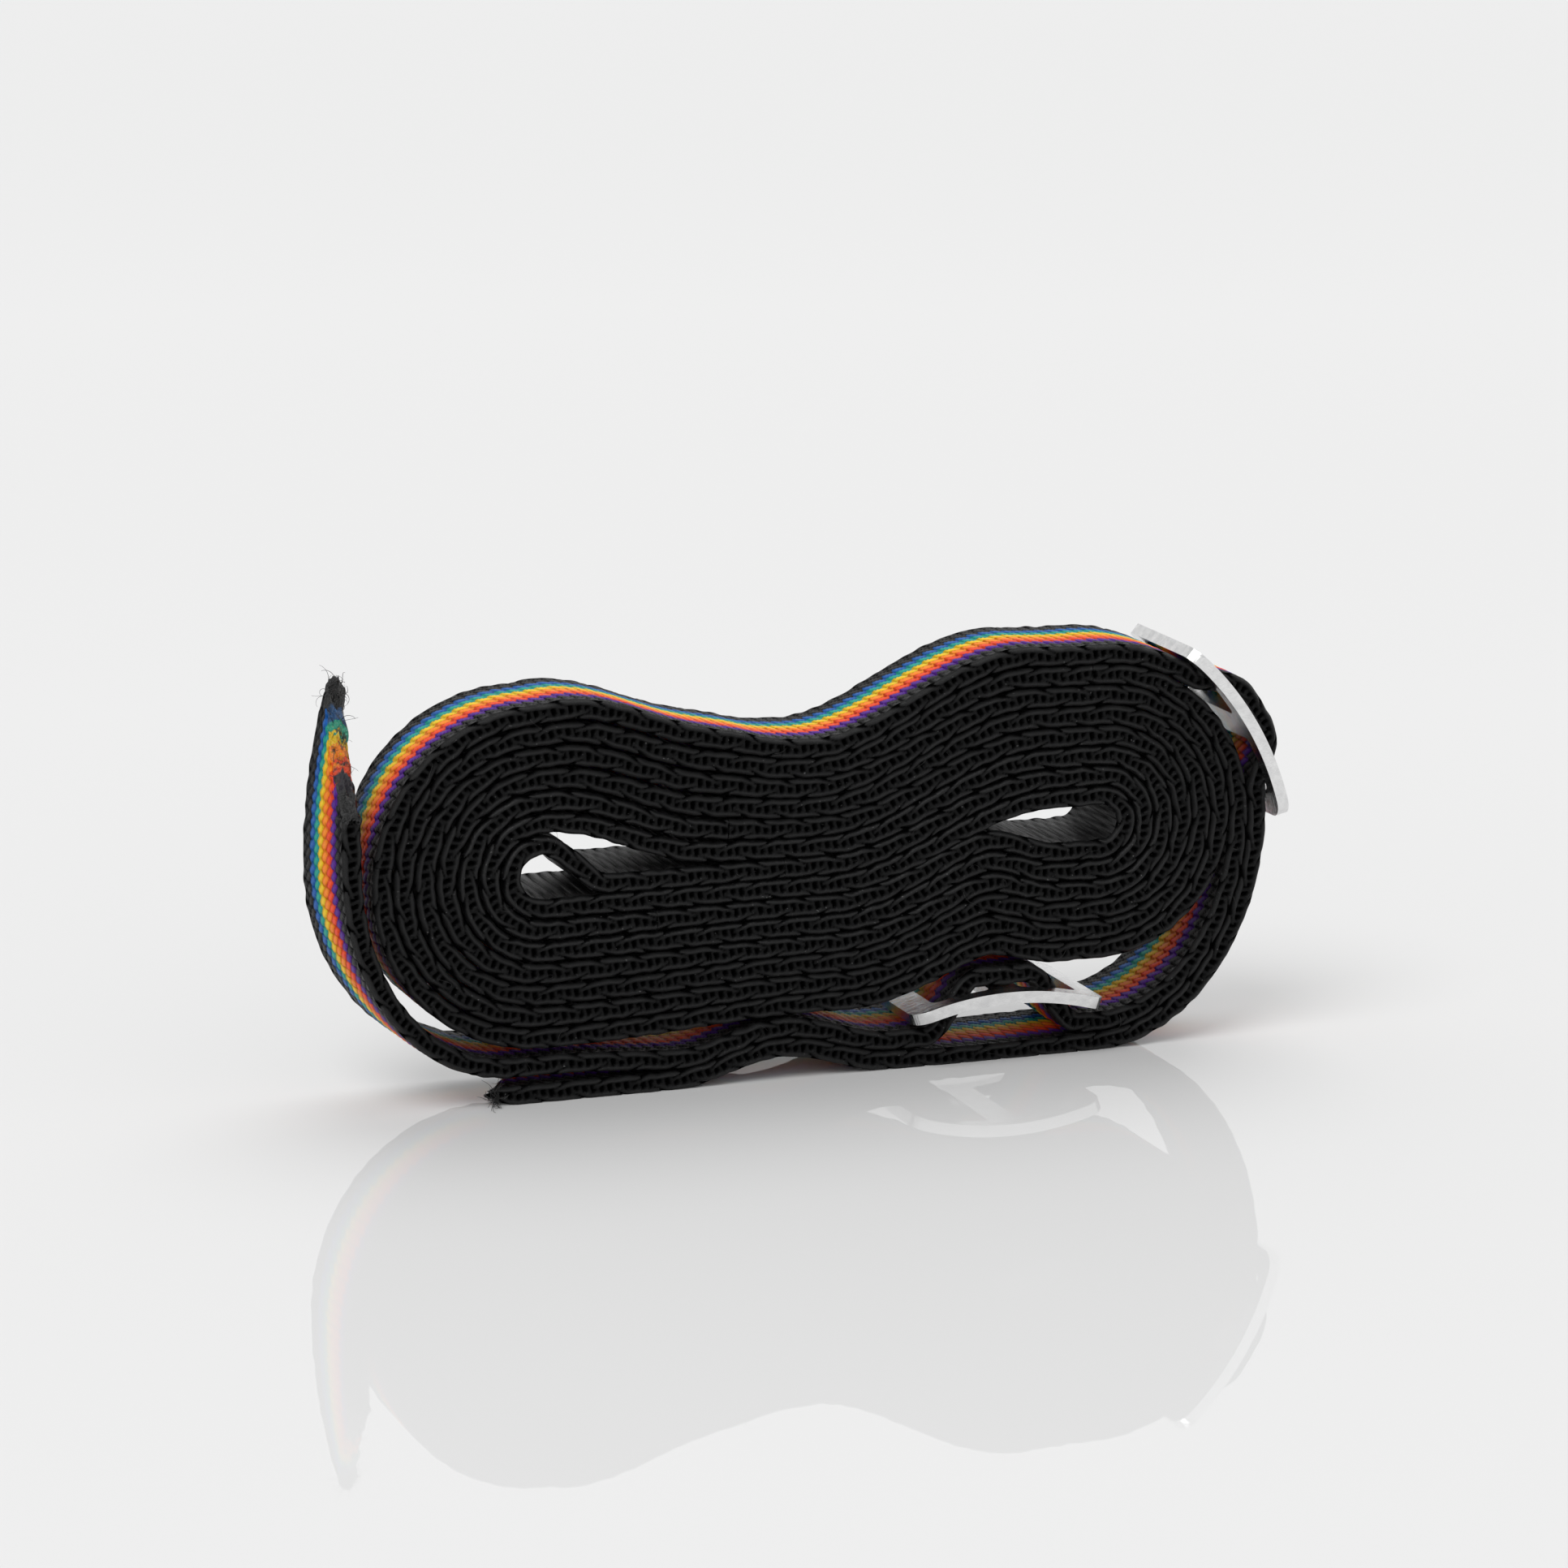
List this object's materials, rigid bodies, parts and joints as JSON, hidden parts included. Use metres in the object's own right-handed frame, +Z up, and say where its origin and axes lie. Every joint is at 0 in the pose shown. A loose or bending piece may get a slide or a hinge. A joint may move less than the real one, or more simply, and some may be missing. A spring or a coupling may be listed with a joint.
{
  "type": "luggage strap",
  "caption": "Long narrow woven strap with a rainbow stripe, wound into a two-lobed roll, with curved metal slide buckles threaded on it.",
  "frame": {"origin": "the middle of the flat part of the outermost webbing that the roll rests on, in the middle of the webbing's width, at floor level", "axes": "+X along the roll towards its right lobe, +Y across the webbing to the far edge, +Z up"},
  "size_m": [0.1071, 0.0176, 0.045],
  "materials": {
    "webbing": "black ribbed polypropylene weave with a rainbow warp stripe",
    "buckle_metal": "bright nickel-plated stamped sheet with sheared edges"
  },
  "bodies": {
    "roll": {"webbing_roll": "webbing"},
    "standing_end": {"standing_tail": "webbing"},
    "floor_end": {"floor_tail": "webbing"},
    "buckle_up": {"upper_buckle": "buckle_metal"},
    "buckle_low": {"lower_buckle": "buckle_metal"}
  },
  "joints": [
    {"name": "standing_end_flex", "type": "hinge", "parent": "roll", "child": "standing_end", "pos_m": [-0.0595, 0, 0.00474], "axis": [0, -1, 0], "range_deg": [-4, 50], "stiffness_Nm_per_rad": 0.02},
    {"name": "floor_end_flex", "type": "hinge", "parent": "roll", "child": "floor_end", "pos_m": [-0.0455, 0, 0.00095], "axis": [0, 1, 0], "range_deg": [0, 5], "stiffness_Nm_per_rad": 0.02},
    {"name": "upper_buckle_slide", "type": "hinge", "parent": "roll", "child": "buckle_up", "pos_m": [0.012, 0, 0.0253], "axis": [0, 1, 0], "range_deg": [-2, 2]},
    {"name": "lower_buckle_slide", "type": "slide", "parent": "roll", "child": "buckle_low", "axis": [1, 0, 0], "range_m": [-0.0005, 0.0005]}
  ]
}
